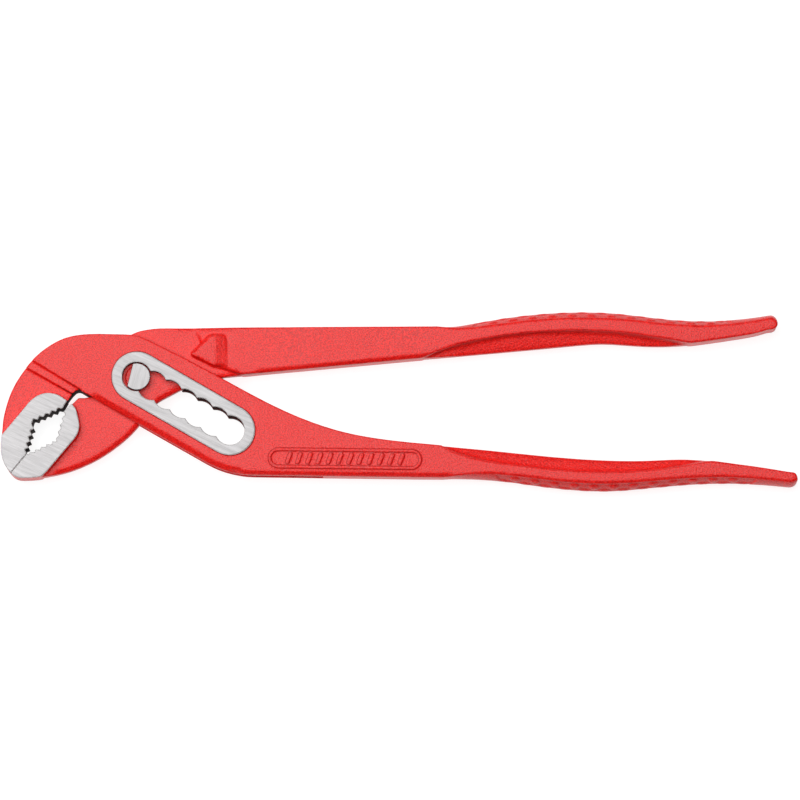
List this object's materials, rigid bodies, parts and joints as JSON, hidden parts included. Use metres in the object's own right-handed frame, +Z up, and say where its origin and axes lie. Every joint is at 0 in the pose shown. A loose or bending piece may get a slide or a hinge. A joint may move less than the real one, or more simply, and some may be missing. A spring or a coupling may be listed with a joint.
{
  "type": "tongue and groove pliers",
  "caption": "Long red coated pliers with angled toothed jaws, a through joint whose D-ended pin sits in a lobed slot, and two curved T-section handles with studded grips.",
  "frame": {"origin": "on the joint pin's axis, in the plane of the rear ground faces", "axes": "the tool lies flat, jaws closed: +X along the tool towards the handle ends, +Y from the slotted arm's handle to the inner arm's handle, +Z up through the thickness"},
  "size_m": [0.2498, 0.0568, 0.0112],
  "materials": {
    "red_coat": "satin powder coat with a fine speckle",
    "bare_steel": "surface ground, fine straight lines"
  },
  "bodies": {
    "slotted_arm": {"slotted_arm": "red_coat"},
    "joint_slide": {"pin_core": "bare_steel"},
    "inner_arm": {"inner_arm": "red_coat", "pin_lock_front": "bare_steel", "pin_lock_rear": "bare_steel"}
  },
  "joints": [
    {"name": "slot_slide", "type": "slide", "parent": "slotted_arm", "child": "joint_slide", "axis": [0.866, -0.5, 0], "range_m": [0, 0.03378]},
    {"name": "pivot", "type": "hinge", "parent": "joint_slide", "child": "inner_arm", "pos_m": [0, 0, 0], "axis": [0, 0, 1], "range_deg": [0, 75]}
  ]
}
